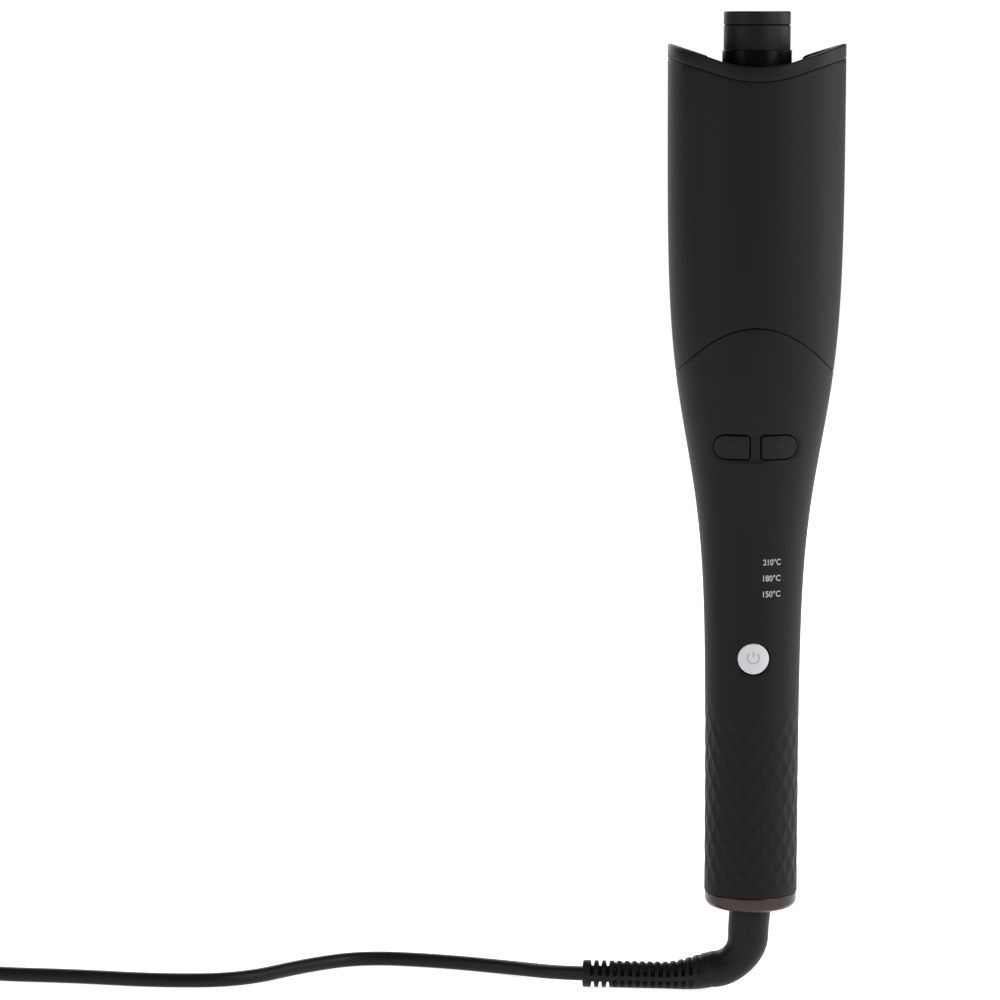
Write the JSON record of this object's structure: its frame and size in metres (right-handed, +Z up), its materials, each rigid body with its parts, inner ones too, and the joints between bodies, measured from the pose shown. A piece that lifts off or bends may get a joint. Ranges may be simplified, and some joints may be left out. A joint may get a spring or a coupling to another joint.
{
  "type": "automatic hair curler",
  "caption": "Upright automatic hair curler: motor-turned heated barrel in a slotted round head, flared soft-touch grip with push buttons, swivelling strain relief and corded plug.",
  "frame": {"origin": "on the barrel's axis at the middle of the grip", "axes": "+Z up the barrel's axis towards the tip, -Y out of the button side"},
  "size_m": [0.5119, 0.1084, 0.4032],
  "materials": {
    "soft_touch_plastic": "fine matt soft-touch",
    "rim_plastic": "satin",
    "heat_resistant_plastic": "matt",
    "ceramic_black": "glossy ceramic coating",
    "tip_plastic": "matt",
    "rose_gunmetal": "satin anodised",
    "white_plastic": "satin white",
    "button_plastic": "satin",
    "black_rubber": "slightly glossy",
    "pvc_black": "slightly glossy",
    "plug_plastic": "satin",
    "nickel_brass": "nickel plated",
    "steel": "zinc plated",
    "aluminium": "plain",
    "copper": "bare copper alloy",
    "nylon": "natural",
    "grey_frame": "glass-filled",
    "board": "solder mask",
    "component_black": "matt",
    "clear_guide": "clear",
    "light_white": "diffused",
    "ceramic_white": "ceramic",
    "bronze": "sintered bronze",
    "lead_insulation": "silicone",
    "capacitor_sleeve": "shrink sleeve"
  },
  "bodies": {
    "housing": {"head_shroud": "soft_touch_plastic", "rim_band": "rim_plastic", "chamber_liner": "heat_resistant_plastic", "slot_cheek_left": "rim_plastic", "slot_cheek_right": "rim_plastic", "chamber_floor": "heat_resistant_plastic", "front_housing": "soft_touch_plastic", "rear_housing": "soft_touch_plastic", "housing_screws": "steel", "bottom_ring": "rose_gunmetal", "upper_bearing": "bronze", "lower_bearing": "bronze", "gear_frame": "grey_frame", "frame_screws": "steel", "motor_screws": "steel", "gear_motor": "steel", "motor_gearbox": "bronze", "brush_block": "component_black", "brushes": "copper", "button_board": "board", "tact_switches": "component_black", "control_board": "board", "temperature_lights": "light_white", "light_guide": "clear_guide", "power_board": "board", "filter_capacitor": "capacitor_sleeve", "triac": "component_black", "inner_leads": "lead_insulation", "board_screws": "steel", "contact_carrier": "component_black", "contact_springs": "copper"},
    "barrel": {"heated_barrel": "ceramic_black", "tip_sleeve": "tip_plastic", "tip_cap": "tip_plastic", "hair_catch": "heat_resistant_plastic", "heater_plate": "ceramic_white", "heat_spreader_front": "aluminium", "heat_spreader_rear": "aluminium", "thermal_fuse": "steel", "thermistor": "component_black", "rotor_hub": "heat_resistant_plastic", "shaft_clip": "steel", "rotor_leads": "lead_insulation", "drive_gear": "nylon", "slip_rings": "copper"},
    "pinion": {"motor_shaft": "steel", "drive_pinion": "bronze"},
    "left_button": {"left_button": "button_plastic"},
    "right_button": {"right_button": "button_plastic"},
    "power_button": {"power_button": "white_plastic"},
    "swivel_cord": {"swivel_core": "component_black", "swivel_clip": "steel", "swivel_rings": "copper", "strain_relief": "black_rubber", "cord": "pvc_black", "cord_tail": "pvc_black", "cord_coil": "pvc_black", "cord_tie": "plug_plastic", "plug_body": "plug_plastic", "plug_pins": "nickel_brass"}
  },
  "joints": [
    {"name": "barrel_spin", "type": "hinge", "parent": "housing", "child": "barrel", "pos_m": [0, 0, 0.2], "axis": [0, 0, 1], "continuous": true},
    {"name": "pinion_spin", "type": "hinge", "parent": "housing", "child": "pinion", "pos_m": [0, 0.0156, 0.17], "axis": [0, 0, 1], "continuous": true},
    {"name": "left_button_press", "type": "slide", "parent": "housing", "child": "left_button", "axis": [0, 1, 0], "range_m": [0, 0.0008], "stiffness_N_per_m": 1500, "springref_m": -0.0003},
    {"name": "right_button_press", "type": "slide", "parent": "housing", "child": "right_button", "axis": [0, 1, 0], "range_m": [0, 0.0008], "stiffness_N_per_m": 1500, "springref_m": -0.0003},
    {"name": "power_button_press", "type": "slide", "parent": "housing", "child": "power_button", "axis": [0, 1, 0], "range_m": [0, 0.0008], "stiffness_N_per_m": 1500, "springref_m": -0.0003},
    {"name": "cord_swivel", "type": "hinge", "parent": "housing", "child": "swivel_cord", "pos_m": [0, 0, -0.05], "axis": [0, 0, 1], "continuous": true}
  ],
  "couplings": [
    {"joint": "pinion_spin", "follows": "barrel_spin", "ratio": -3.3333}
  ]
}
